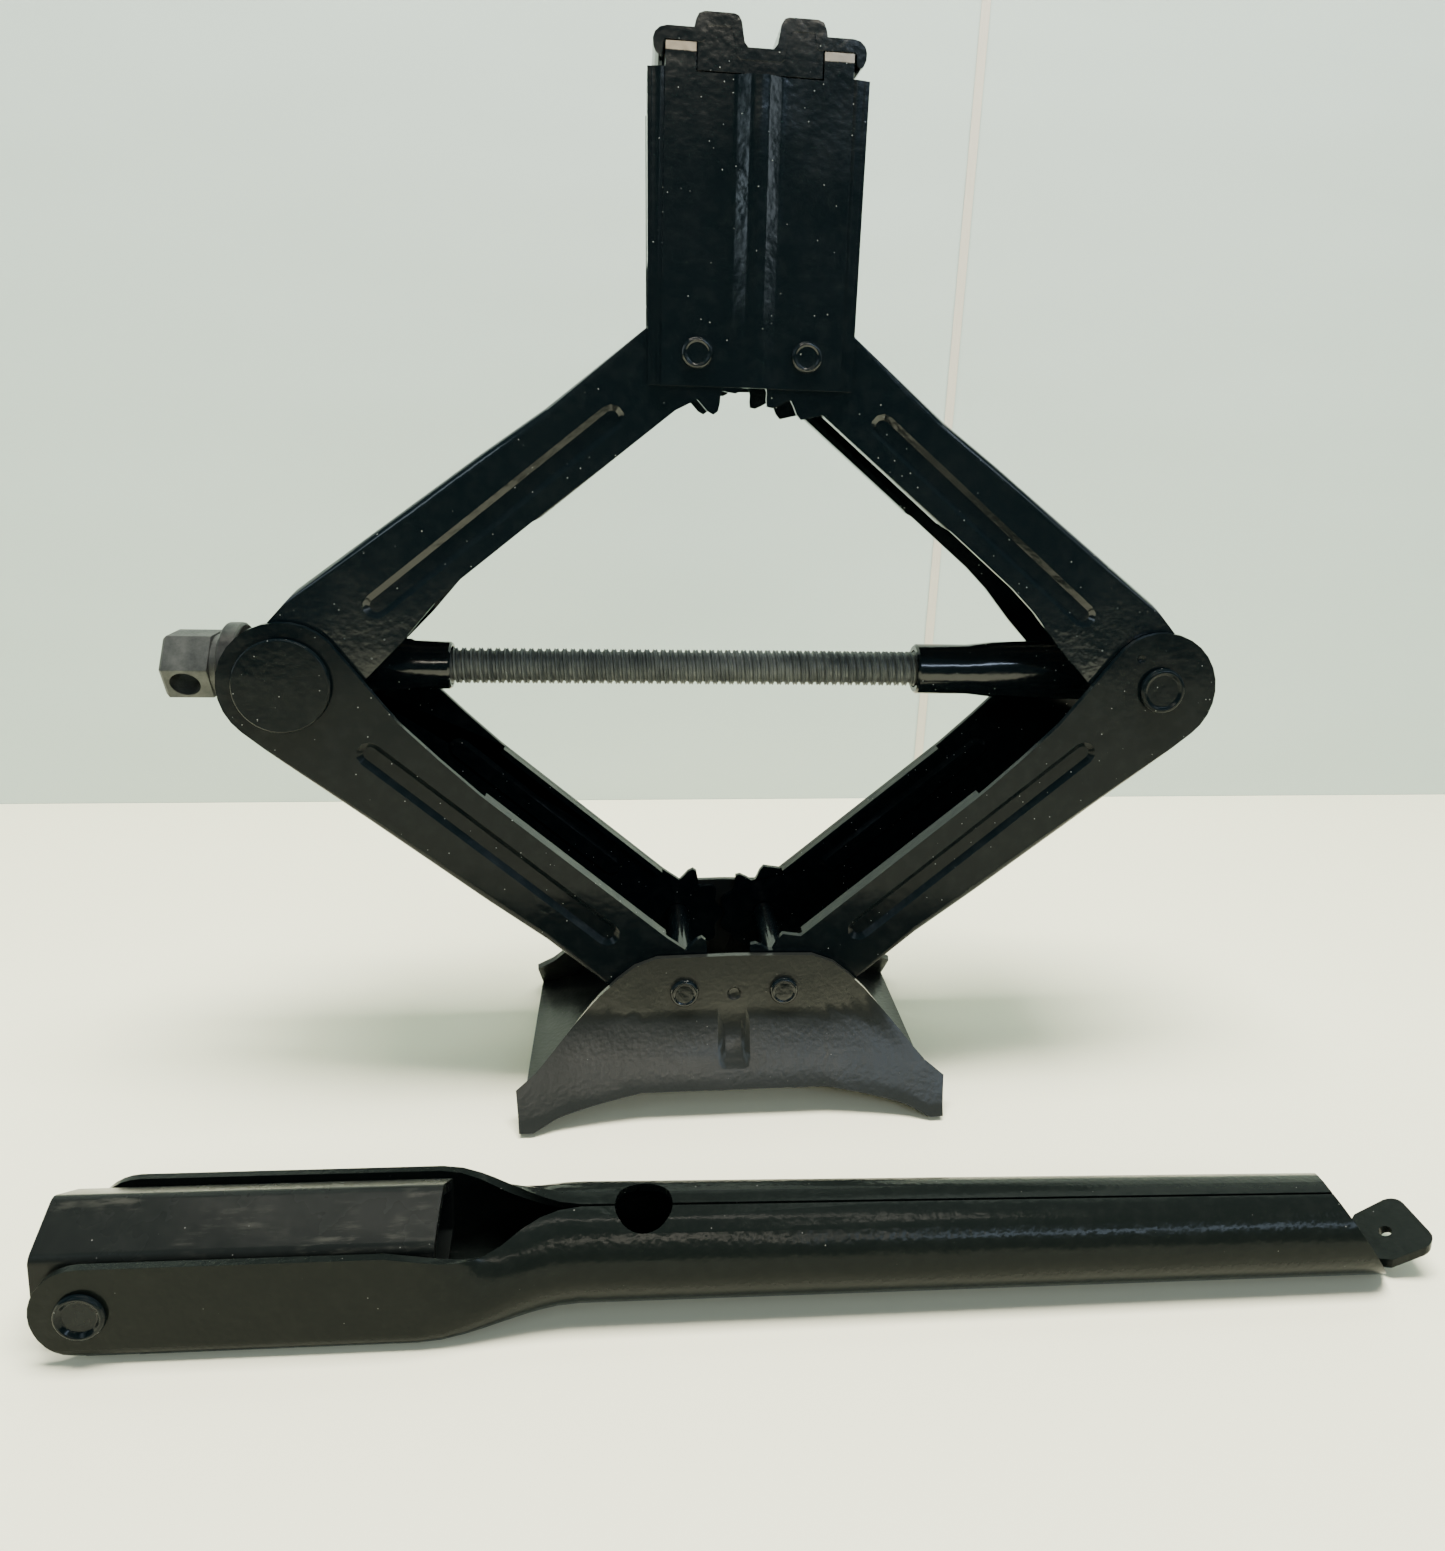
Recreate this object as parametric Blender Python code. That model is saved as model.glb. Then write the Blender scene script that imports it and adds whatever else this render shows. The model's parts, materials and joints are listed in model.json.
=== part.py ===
"""Scissor car jack with its folding handle, each pressed, turned or riveted piece as its own solid."""

import math

import bmesh
import bpy
from mathutils import Matrix, Vector

# Every length is in millimetres here and becomes metres in new_object.
MM = 0.001
GAP = 0.3
SHEET = 2.3

# Linkage: two arms each side, from a screw trunnion to a pin in the base or the tower.
ARM_LENGTH = 175.0
FOLD_ANGLE = math.radians(39.8)
PIN_HALF_SPACING = 18.0
BASE_PIN_Z = 42.0
TRUNNION_X = PIN_HALF_SPACING + ARM_LENGTH * math.cos(FOLD_ANGLE)
TRUNNION_Z = BASE_PIN_Z + ARM_LENGTH * math.sin(FOLD_ANGLE)
TOWER_PIN_Z = BASE_PIN_Z + 2 * ARM_LENGTH * math.sin(FOLD_ANGLE)

# Layers across the jack, measured outwards from its middle plane.
UPPER_ARM_IN, UPPER_ARM_OUT = 28.0, 30.3
LOWER_ARM_IN, LOWER_ARM_OUT = 30.9, 33.2
TOWER_IN, TOWER_OUT = 30.9, 33.2
BASE_IN, BASE_OUT = 33.8, 36.1

# Arms: outer edge, inner edges, end radii, bead, lip and gear-like end, in the arm's own directions.
OUTER_EDGE = ((24.0, 21.0), (50.0, 20.0), (100.0, 18.0), (125.0, 16.5), (ARM_LENGTH, 16.5))
LOWER_INNER_EDGE = ((19.0, -17.3), (37.0, -13.5), (55.0, -12.0), (73.0, -11.0), (158.0, -11.0))
UPPER_INNER_EDGE = (
    (22.0, -15.4), (39.0, -13.3), (55.0, -10.3), (67.0, -9.3), (98.0, -9.3), (101.0, -10.0), (158.0, -10.0),
)
LOWER_END_RADIUS, UPPER_END_RADIUS = 21.0, 17.2
SPINE_START, SPINE_END = 18.0, 164.0
FOLD_RADIUS = 3.0
BEAD_N, BEAD_HALF, BEAD_END, BEAD_DEPTH = 1.0, 4.2, 140.0, 1.5
TOOTH_RADIUS, TOOTH_SWING, HOOK_SWING, TEETH_PER_TURN = 17.6, 1.3, 1.6, 10
LIP_WIDTH, LIP_RADIUS = 4.0, 2.0

# Pins, discs and trunnions.
PIN_RADIUS, PIN_HOLE_RADIUS, PIN_HEAD_RADIUS = 4.5, 4.8, 5.15
TRUNNION_RADIUS, TRUNNION_HALF_LENGTH = 14.0, 27.6
THRUST_JOURNAL_RADIUS, NUT_JOURNAL_RADIUS = 9.0, 7.2
DISC_RADIUS, NUT_RIVET_RADIUS = 15.95, 8.3
BORE_RADIUS = 7.1

# Screw and its drive end.
THREAD_PITCH, THREAD_CREST, THREAD_ROOT = 3.0, 6.6, 5.5
THREAD_START, THREAD_TURNS, SCREW_END = -112.0, 91, 165.6
HEX_ACROSS_FLATS, HEX_LEFT, HEX_RIGHT = 22.0, -199.2, -183.1

# Base.
BASE_TOP = (
    (0.0, 55.8), (28.0, 55.2), (36.0, 52.2), (42.0, 47.4), (48.0, 41.5), (57.0, 31.3), (67.0, 20.3), (74.5, 12.6),
)
BASE_ARCH = ((0.0, 9.3), (33.0, 9.3), (47.0, 7.0), (61.0, 4.0), (70.0, 0.0), (80.0, 0.0))
BASE_FLARE_START, BASE_FLARE = 34.0, 20.6
BASE_HALF_LENGTH, BASE_END_LEAN = 74.5, 2.2
DART_HALF, DART_LOW, DART_HIGH, DART_DEPTH = 5.8, 16.5, 38.0, 2.6
DIMPLE_Z, DIMPLE_RADIUS = 41.0, 2.6

# Tower and saddle.
TOWER_LOW, TOWER_MIDDLE_TOP, TOWER_SHOULDER_TOP, TOWER_STRIP_TOP = 255.4, 351.3, 359.8, 352.5
TOWER_WALL_LOW, TOWER_FLARE = 295.0, 1.5
SADDLE_HALF_DEPTH, SKIRT_LOW = 33.0, 351.8

# Handle, built along X about its own origin and then turned and set down beside the jack.
HANDLE_YAW, HANDLE_Y = math.radians(-1.7), -130.8
EAR_X, EAR_Z, EAR_RADIUS, WEB_START = -175.5, 15.0, 13.0, -162.5
CHANNEL_HALF = 19.0
TUBE_TOP_END, TUBE_BOTTOM_END = 168.0, 189.0
TUBE_WIDE_RADIUS, TUBE_END_RADIUS, TUBE_LIFT = 15.3, 13.7, 1.4
SEAM_TURN, SEAM_LEAN, SEAM_DIP = 178.6, 15.0, 0.6
FRONT_WALL_TOP = ((-200.0, 28.0), (-96.0, 28.0), (-86.0, 25.0), (-76.0, 20.0), (-71.0, 19.0), (-60.0, 24.0))
REAR_WALL_TOP = ((-200.0, 28.0), (-96.0, 28.0), (-71.0, 28.0), (-60.0, 28.5))
TONGUE_BEND_X, TONGUE_END, TONGUE_EYE_X = 184.5, 202.2, 193.2
TONGUE_HALF, TONGUE_CORNER, TONGUE_SIDE, TONGUE_PITCH = 10.6, 4.0, 3.0, math.radians(25.0)
SOCKET_FLATS, SOCKET_BORE, SOCKET_Z = 28.5, 22.6, 19.2
SOCKET_LEFT, SOCKET_RIGHT = -190.0, -88.0


def clear_scene():
    for obj in list(bpy.data.objects):
        bpy.data.objects.remove(obj, do_unlink=True)


def painted(name, colour, roughness, metallic):
    material = bpy.data.materials.new(name)
    material.use_nodes = True
    shader = material.node_tree.nodes["Principled BSDF"]
    shader.inputs["Base Color"].default_value = (*colour, 1.0)
    shader.inputs["Roughness"].default_value = roughness
    shader.inputs["Metallic"].default_value = metallic
    material.diffuse_color = (*colour, 1.0)
    return material


def new_object(name, points, faces):
    """A mesh from points in millimetres, with its faces turned outwards."""
    mesh = bpy.data.meshes.new(name)
    mesh.from_pydata([Vector(point) * MM for point in points], [], faces)
    obj = bpy.data.objects.new(name, mesh)
    bpy.context.scene.collection.objects.link(obj)
    face_outwards(obj)
    return obj


def face_outwards(obj):
    shape = bmesh.new()
    shape.from_mesh(obj.data)
    bmesh.ops.recalc_face_normals(shape, faces=shape.faces)
    shape.to_mesh(obj.data)
    shape.free()


def prism(name, outline, low, high, axis="Y"):
    """Extrudes a closed outline. Along Y it reads (x, z), and along Z it reads (x, y)."""
    count = len(outline)
    if axis == "Y":
        points = [(x, depth, z) for depth in (low, high) for x, z in outline]
    else:
        points = [(x, y, depth) for depth in (low, high) for x, y in outline]
    faces = [tuple(range(count)), tuple(range(2 * count - 1, count - 1, -1))]
    for i in range(count):
        j = (i + 1) % count
        faces.append((i, j, count + j, count + i))
    return new_object(name, points, faces)


def tapered(name, small, large, small_y, large_y):
    """A frustum between two outlines of equal length, for the sloping walls of a pressed bead."""
    count = len(small)
    points = [(x, small_y, z) for x, z in small] + [(x, large_y, z) for x, z in large]
    faces = [tuple(range(count)), tuple(range(2 * count - 1, count - 1, -1))]
    for i in range(count):
        j = (i + 1) % count
        faces.append((i, j, count + j, count + i))
    return new_object(name, points, faces)


def box(name, x_range, y_range, z_range):
    (left, right), (low, high) = x_range, z_range
    corners = [(left, low), (right, low), (right, high), (left, high)]
    return prism(name, corners, y_range[0], y_range[1])


def place(axis, along, across, up, centre):
    """A point of a turned piece: X runs along the screw, Y across the jack, Z upwards."""
    if axis == "X":
        return (along, centre[0] + across, centre[1] + up)
    if axis == "Y":
        return (centre[0] + across, along, centre[1] + up)
    return (centre[0] + across, centre[1] + up, along)


def turned(name, profile, axis, centre, segments=32):
    """A solid of revolution from (along, radius) stations. Its two ends are closed by flat discs."""
    points = []
    for along, radius in profile:
        for k in range(segments):
            angle = 2 * math.pi * (k + 0.5) / segments
            points.append(place(axis, along, radius * math.cos(angle), radius * math.sin(angle), centre))
    faces = ring_faces(len(profile), segments, segments)
    faces.append(tuple(range(segments)))
    faces.append(tuple(range((len(profile) - 1) * segments, len(profile) * segments)))
    return new_object(name, points, faces)


def ring_faces(rings, segments, stride):
    faces = []
    for i in range(rings - 1):
        for k in range(segments):
            j = (k + 1) % segments
            faces.append((i * stride + k, i * stride + j, (i + 1) * stride + j, (i + 1) * stride + k))
    return faces


def tube(name, stations, centre, segments=28):
    """A tube along X from (x, half width, half height, bore radius) stations."""
    points = []
    for x, half_width, half_height, bore in stations:
        for across, up in ((half_width, half_height), (bore, bore)):
            for k in range(segments):
                angle = 2 * math.pi * (k + 0.5) / segments
                points.append((x, centre[0] + across * math.cos(angle), centre[1] + up * math.sin(angle)))
    faces = []
    last = (len(stations) - 1) * 2 * segments
    for k in range(segments):
        j = (k + 1) % segments
        faces.append((k, j, segments + j, segments + k))
        faces.append((last + k, last + j, last + segments + j, last + segments + k))
        for i in range(len(stations) - 1):
            for side in (0, segments):
                a = i * 2 * segments + side
                b = a + 2 * segments
                faces.append((a + k, a + j, b + j, b + k))
    return new_object(name, points, faces)


def sheet_sweep(name, sections):
    """Closes a bent sheet from sections, each an (outer path, inner path) pair of points of equal length."""
    count = len(sections[0][0])
    points = []
    for outer, inner in sections:
        points.extend(outer)
        points.extend(inner)
    faces = []
    stride = 2 * count
    for i in range(len(sections) - 1):
        a, b = i * stride, (i + 1) * stride
        for k in range(count - 1):
            faces.append((a + k, a + k + 1, b + k + 1, b + k))
            faces.append((a + count + k, a + count + k + 1, b + count + k + 1, b + count + k))
        for k in (0, count - 1):
            faces.append((a + k, a + count + k, b + count + k, b + k))
    for a in (0, (len(sections) - 1) * stride):
        for k in range(count - 1):
            faces.append((a + k, a + k + 1, a + count + k + 1, a + count + k))
    return new_object(name, points, faces)


def inner_path(path, thickness):
    """The path moved sideways by the sheet's thickness, to the left of its direction."""
    moved = []
    for i, point in enumerate(path):
        before = path[max(i - 1, 0)]
        after = path[min(i + 1, len(path) - 1)]
        direction = Vector((after[0] - before[0], after[1] - before[1])).normalized()
        moved.append((point[0] - direction.y * thickness, point[1] + direction.x * thickness))
    return moved


def combine(target, other, operation):
    """Joins or cuts with another object, which is used up."""
    modifier = target.modifiers.new("shape", "BOOLEAN")
    modifier.object = other
    modifier.operation = operation
    modifier.solver = "EXACT"
    graph = bpy.context.evaluated_depsgraph_get()
    mesh = bpy.data.meshes.new_from_object(target.evaluated_get(graph))
    target.modifiers.clear()
    target.data = mesh
    bpy.data.objects.remove(other, do_unlink=True)
    tidy_mesh(target)
    return target


def tidy_mesh(obj):
    shape = bmesh.new()
    shape.from_mesh(obj.data)
    bmesh.ops.remove_doubles(shape, verts=shape.verts, dist=0.002 * MM)
    bmesh.ops.dissolve_degenerate(shape, edges=shape.edges, dist=0.002 * MM)
    shape.to_mesh(obj.data)
    shape.free()


def merged(objects, name):
    """Separate solids that don't touch, held in one mesh for a single cut or join."""
    shape = bmesh.new()
    for obj in objects:
        shape.from_mesh(obj.data)
    mesh = bpy.data.meshes.new(name)
    shape.to_mesh(mesh)
    shape.free()
    for obj in objects:
        bpy.data.objects.remove(obj, do_unlink=True)
    result = bpy.data.objects.new(name, mesh)
    bpy.context.scene.collection.objects.link(result)
    return result


def hole(x, z, radius, half_length=60.0, segments=32):
    return turned("hole", ((-half_length, radius), (half_length, radius)), "Y", (x, z), segments)


def arc(centre, radius, start, end, steps):
    """Points of an arc, with its angles in degrees."""
    points = []
    for i in range(steps + 1):
        angle = math.radians(start + (end - start) * i / steps)
        points.append((centre[0] + radius * math.cos(angle), centre[1] + radius * math.sin(angle)))
    return points


def interpolate(table, x):
    for (x0, v0), (x1, v1) in zip(table, table[1:]):
        if x <= x1:
            return v0 + (v1 - v0) * (x - x0) / (x1 - x0)
    return table[-1][1]


def gear_end(lobe_at_contact):
    """The rounded teeth where the left and right arms roll past each other, then the plain round end."""
    phase = 0.0 if lobe_at_contact else math.pi
    contact = math.degrees(FOLD_ANGLE)
    points = []
    for step in range(27):
        angle = 128.0 - 5.0 * step
        swing = TOOTH_SWING + HOOK_SWING * min(max((angle - 78.0) / 15.0, 0.0), 1.0)
        radius = TOOTH_RADIUS + swing * math.cos(math.radians(TEETH_PER_TURN * (angle - contact)) + phase)
        turn = math.radians(angle)
        points.append((ARM_LENGTH + radius * math.cos(turn), -radius * math.sin(turn)))
    points.extend(arc((ARM_LENGTH, 0.0), 16.5, 8.0, 82.0, 7))
    return points


def arm_outline(upper, left):
    """The web of an arm as (along, outwards) points, from the trunnion to the pin."""
    if upper:
        inner, radius, outer = UPPER_INNER_EDGE, UPPER_END_RADIUS, ((15.0, 19.5),) + OUTER_EDGE
    else:
        inner, radius, outer = LOWER_INNER_EDGE, LOWER_END_RADIUS, OUTER_EDGE
    start = arc((0.0, 0.0), radius, 90.0, 288.0, 16)
    return start + list(inner) + gear_end(left) + list(reversed(outer))


def stadium(start, end, middle, half):
    return arc((end, middle), half, -90.0, 90.0, 5) + arc((start, middle), half, 90.0, 270.0, 5)


def edge_strip(start, end, low, high):
    return [(start, low), (end, low), (end, high), (start, high)]


def round_folds(obj, outer_y, lip_start):
    """Rounds the two long folds between the webs and the spine, and the bends of the two lips."""
    shape = bmesh.new()
    shape.from_mesh(obj.data)
    folds = []
    bends = []
    for edge in shape.edges:
        middle = (edge.verts[0].co + edge.verts[1].co) / (2 * MM)
        flat = abs(edge.verts[0].co.y - edge.verts[1].co.y) < 1e-9
        if not flat or abs(abs(middle.y) - outer_y) > 0.01:
            continue
        if middle.z > 16.0 and 30.0 < middle.x < 160.0:
            folds.append(edge)
        if middle.z < -9.0 and lip_start < middle.x < 157.0:
            bends.append(edge)
    for edges, radius, steps in ((folds, FOLD_RADIUS, 4), (bends, LIP_RADIUS, 3)):
        bmesh.ops.bevel(
            shape, geom=edges, offset=radius * MM, offset_type="OFFSET", segments=steps, profile=0.5,
            affect="EDGES",
        )
    shape.to_mesh(obj.data)
    shape.free()


def arm(name, upper, left):
    """A pressed channel arm, drawn lying along X and then swung into place."""
    web_in, web_out = (UPPER_ARM_IN, UPPER_ARM_OUT) if upper else (LOWER_ARM_IN, LOWER_ARM_OUT)
    bead_start = 40.0 if upper else 36.0
    ridge_start = bead_start if upper else 62.0
    lip_start = 102.0 if upper else 75.0
    edge_n = -10.0 if upper else -11.0
    body = prism(name, arm_outline(upper, left), -web_out, web_out)
    round_folds(body, web_out, lip_start)
    spine = [(s, n - SHEET) for s, n in OUTER_EDGE if s < SPINE_END]
    hollow = [(-60.0, -60.0), (260.0, -60.0), (260.0, 60.0), (SPINE_END, 60.0), (SPINE_END, 16.5 - SHEET)]
    hollow += list(reversed(spine)) + [(SPINE_START, 21.0 - SHEET), (SPINE_START, 60.0), (-60.0, 60.0)]
    combine(body, prism("hollow", hollow, -web_in, web_in), "DIFFERENCE")
    added = []
    cuts = []
    for side in (-1, 1):
        lip = sorted((side * (web_in - LIP_WIDTH), side * (web_in + 0.6)))
        added.append(prism("lip", edge_strip(lip_start, 157.0, edge_n + 0.05, edge_n + SHEET), *lip))
        ridge = [stadium(ridge_start, BEAD_END, BEAD_N, half) for half in (BEAD_HALF - 1.4, BEAD_HALF + 0.6)]
        added.append(tapered("ridge", *ridge, side * (web_in - BEAD_DEPTH), side * (web_in + 0.4)))
        groove = [stadium(bead_start, BEAD_END, BEAD_N, half) for half in (BEAD_HALF - 1.9, BEAD_HALF + 0.9)]
        cuts.append(tapered("groove", *groove, side * (web_out - BEAD_DEPTH), side * (web_out + 0.6)))
    journal = THRUST_JOURNAL_RADIUS if left else NUT_JOURNAL_RADIUS
    cuts.append(hole(0.0, 0.0, journal + GAP))
    cuts.append(hole(ARM_LENGTH, 0.0, PIN_HOLE_RADIUS, segments=24))
    combine(body, merged(added, "added"), "UNION")
    combine(body, merged(cuts, "cuts"), "DIFFERENCE")
    swing(body, upper, left)
    return body


def swing(obj, upper, left):
    """Moves an arm from its own directions to its place between a trunnion and a pin."""
    up = 1.0 if upper else -1.0
    side = -1.0 if left else 1.0
    along = Vector((-side * math.cos(FOLD_ANGLE), 0.0, up * math.sin(FOLD_ANGLE)))
    outwards = Vector((side * math.sin(FOLD_ANGLE), 0.0, up * math.cos(FOLD_ANGLE)))
    origin = Vector((side * TRUNNION_X, 0.0, TRUNNION_Z)) * MM
    for vertex in obj.data.vertices:
        s, y, n = vertex.co
        vertex.co = origin + along * s + outwards * n + Vector((0.0, y, 0.0))
    face_outwards(obj)


def base_path(x):
    """The base's outer face at one station, from the front top edge under the arch to the rear one."""
    top = interpolate(BASE_TOP, abs(x))
    low = interpolate(BASE_ARCH, abs(x))
    corner = 4.0
    shares = (0.0, 0.17, 0.34, 0.41, 0.47, 0.58, 0.70, 0.81, 0.88, 0.93, 1.0)
    levels = [top + (low + corner - top) * share for share in shares]
    side = [(flare_y(x, z), z) for z in levels]
    foot = flare_y(x, low)
    bend = [(foot - 0.6, low + 1.6), (foot - 2.4, low + 0.3), (foot - 4.5, low)]
    half = [(-y, z) for y, z in side + bend] + [(-25.0, low)]
    rear = [(-y, z) for y, z in reversed(half)]
    return half + rear


def flare_y(x, z):
    y = BASE_OUT
    if z < BASE_FLARE_START:
        share = (BASE_FLARE_START - z) / BASE_FLARE_START
        y += BASE_FLARE * (0.35 * share * share + 0.65 * share)
    if abs(x) < DART_HALF and DART_LOW < z < DART_HIGH:
        across = min(1.0, 2.0 * (1.0 - abs(x) / DART_HALF))
        up = min(1.0, (DART_HIGH - z) / 4.0, (z - DART_LOW) / 3.0)
        y -= min(DART_DEPTH * across * up, y - BASE_OUT + 0.25)
    return y


def base_plate():
    """The foot: one pressed sheet with two flared sides and an arched web that stands on its ends."""
    stations = [0.0, 2.9, 4.4, 5.8, 14.0, 28.0, 33.0, 36.0, 39.0, 42.0, 45.0, 48.0]
    stations += [52.0, 57.0, 62.0, 67.0, 70.0, 74.5]
    stations = [-x for x in reversed(stations[1:])] + stations
    sections = []
    for x in stations:
        outer = base_path(x)
        paths = (outer, inner_path(outer, SHEET))
        lean = BASE_END_LEAN / 13.0 if abs(x) == BASE_HALF_LENGTH else 0.0
        sections.append([[(x + math.copysign(lean * z, x), y, z) for y, z in path] for path in paths])
    base = sheet_sweep("base_plate", sections)
    cuts = [hole(side * PIN_HALF_SPACING, BASE_PIN_Z, PIN_HOLE_RADIUS, segments=24) for side in (-1, 1)]
    cuts += [hole(side * 16.0, 8.4, 1.9, segments=12) for side in (-1, 1)]
    dimple = [(-BASE_OUT - 3.0, 3.6), (-BASE_OUT, DIMPLE_RADIUS)]
    dimple += [(-BASE_OUT + 0.9, DIMPLE_RADIUS * 0.7), (-BASE_OUT + 1.2, 0.6)]
    cuts.append(turned("dimple", dimple, "Y", (0.0, DIMPLE_Z), 16))
    return combine(base, merged(cuts, "cuts"), "DIFFERENCE")


def pin(name, x, z, outer):
    """A through rivet: a plain shaft with a raised ring and a sunk middle at each end."""
    head = outer + GAP
    half = [(head + 1.6, 4.0), (head + 1.5, 4.6)]
    half += [(head + 0.9, PIN_HEAD_RADIUS), (head, PIN_HEAD_RADIUS), (head, PIN_RADIUS)]
    profile = [(head + 1.2, 3.5)] + half
    profile = [(-along, radius) for along, radius in profile] + list(reversed(profile))
    return turned(name, profile, "Y", (x, z), 22)


def tower_channel(name, front):
    """Half of the tower: a plate with a pressed rib, stepped edges and side walls above the arms."""
    side = -1.0 if front else 1.0
    wall_out, reach = (33.85, -1.0) if front else (31.2, -20.0)
    wall_in = wall_out - SHEET
    wall_end = side * reach if front else reach
    rib = [(0.0, 35.9), (1.6, 35.85), (3.2, 35.4), (6.8, 33.7), (8.8, TOWER_OUT)]
    rib += [(29.75, TOWER_OUT), (30.0, 32.5)]
    rib += [(31.1, 32.6), (31.3, 32.0), (32.4, 32.1), (32.6, 31.6), (33.85, 31.5)]
    back = [(wall_in, TOWER_IN - 0.2), (28.6, TOWER_IN), (8.0, TOWER_IN)]
    back += [(6.2, 31.4), (2.7, 33.1), (1.2, 33.5), (0.0, 33.55)]
    if front:
        wall = [(33.85, 1.0), (wall_in, 1.0)]
    else:
        wall = [(33.85, TOWER_IN - 0.2), (wall_out, TOWER_IN - 0.2), (wall_out, wall_end), (wall_in, wall_end)]
    right = rib + wall + back
    left = [(-x, y) for x, y in reversed(right)]
    outline = [(x, side * y) for x, y in right[:-1] + left[:-1]]
    channel = prism(name, outline, TOWER_LOW, TOWER_SHOULDER_TOP, "Z")
    wall_range = sorted((side * (TOWER_IN - 0.1), side * -60.0))
    cuts = [
        box("below", (-60.0, 60.0), wall_range, (200.0, TOWER_WALL_LOW)),
        box("middle", (-20.2, 20.2), (-60.0, 60.0), (TOWER_MIDDLE_TOP, 400.0)),
        box("left", (-60.0, -29.9), (-60.0, 60.0), (TOWER_STRIP_TOP, 400.0)),
        box("right", (29.9, 60.0), (-60.0, 60.0), (TOWER_STRIP_TOP, 400.0)),
    ]
    cuts += [hole(end * PIN_HALF_SPACING, TOWER_PIN_Z, PIN_HOLE_RADIUS, segments=24) for end in (-1, 1)]
    combine(channel, merged(cuts, "cuts"), "DIFFERENCE")
    for vertex in channel.data.vertices:
        if abs(vertex.co.x) > 31.25 * MM:
            share = (vertex.co.z / MM - TOWER_LOW) / (TOWER_STRIP_TOP - TOWER_LOW)
            vertex.co.x += math.copysign(TOWER_FLARE * share * MM, vertex.co.x)
    return channel


def saddle_cap():
    """The strip on top: curled ends, flat shoulders, two humps and the valley that takes the car's seam."""
    top = [(0.0, 359.5), (4.0, 359.5), (5.2, 361.0), (6.2, 366.8), (7.2, 368.5), (8.6, 369.0), (17.8, 369.0)]
    top += [(19.6, 368.3), (20.5, 366.4), (21.0, 364.2), (29.4, 364.2), (31.6, 363.6), (33.1, 362.2)]
    top += [(33.7, 360.4), (33.6, 358.2), (32.9, 356.4)]
    under = [(31.9, 355.5), (30.6, 356.4), (30.5, 359.3), (29.8, 360.3), (18.4, 360.1), (17.4, 361.0)]
    under += [(16.9, 365.0), (9.7, 365.0), (8.6, 362.6), (7.6, 356.8), (6.4, 355.8), (0.0, 355.8)]
    right = top + under
    left = [(-x, z) for x, z in reversed(right)]
    cap = prism("saddle_cap", right[:-1] + left[:-1], -SADDLE_HALF_DEPTH, SADDLE_HALF_DEPTH)
    skirt = [(19.8, SKIRT_LOW), (19.8, 365.5), (18.6, 367.6), (17.2, 368.3), (9.0, 368.3), (7.6, 367.6)]
    skirt += [(6.8, 366.2), (5.8, 360.7), (4.4, 358.9), (0.0, 358.9)]
    outline = skirt[:-1] + [(-x, z) for x, z in reversed(skirt)]
    near, far = SADDLE_HALF_DEPTH - 0.15, SADDLE_HALF_DEPTH - SHEET
    combine(cap, prism("front_skirt", outline, -near, -far), "UNION")
    return combine(cap, prism("rear_skirt", outline, far, near), "UNION")


def trunnion(name, side, journal):
    """A cross block whose ends turn in the arms, bored for the screw."""
    end = LOWER_ARM_OUT + 0.1
    half = [(TRUNNION_HALF_LENGTH, journal), (TRUNNION_HALF_LENGTH, TRUNNION_RADIUS - 0.8)]
    half.append((TRUNNION_HALF_LENGTH - 0.8, TRUNNION_RADIUS))
    profile = [(-end, journal)] + [(-along, radius) for along, radius in half]
    profile += list(reversed(half)) + [(end, journal)]
    block = turned(name, profile, "Y", (side * TRUNNION_X, TRUNNION_Z), 36)
    bore = turned("bore", ((-300.0, BORE_RADIUS), (300.0, BORE_RADIUS)), "X", (0.0, TRUNNION_Z), 28)
    return combine(block, bore, "DIFFERENCE")


def trunnion_cap(name, side, front, radius, ring):
    """The disc or rivet head that closes a trunnion's end outside the arms."""
    sign = -1.0 if front else 1.0
    start = LOWER_ARM_OUT + 2 * GAP
    profile = [(start, radius), (start + 1.2, radius), (start + 1.7, radius - 0.6)]
    if ring:
        profile += [(start + 1.9, radius - 1.4), (start + 1.3, radius - 2.4)]
    profile = [(sign * along, size) for along, size in profile]
    return turned(name, profile, "Y", (side * TRUNNION_X, TRUNNION_Z), 40)


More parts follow.
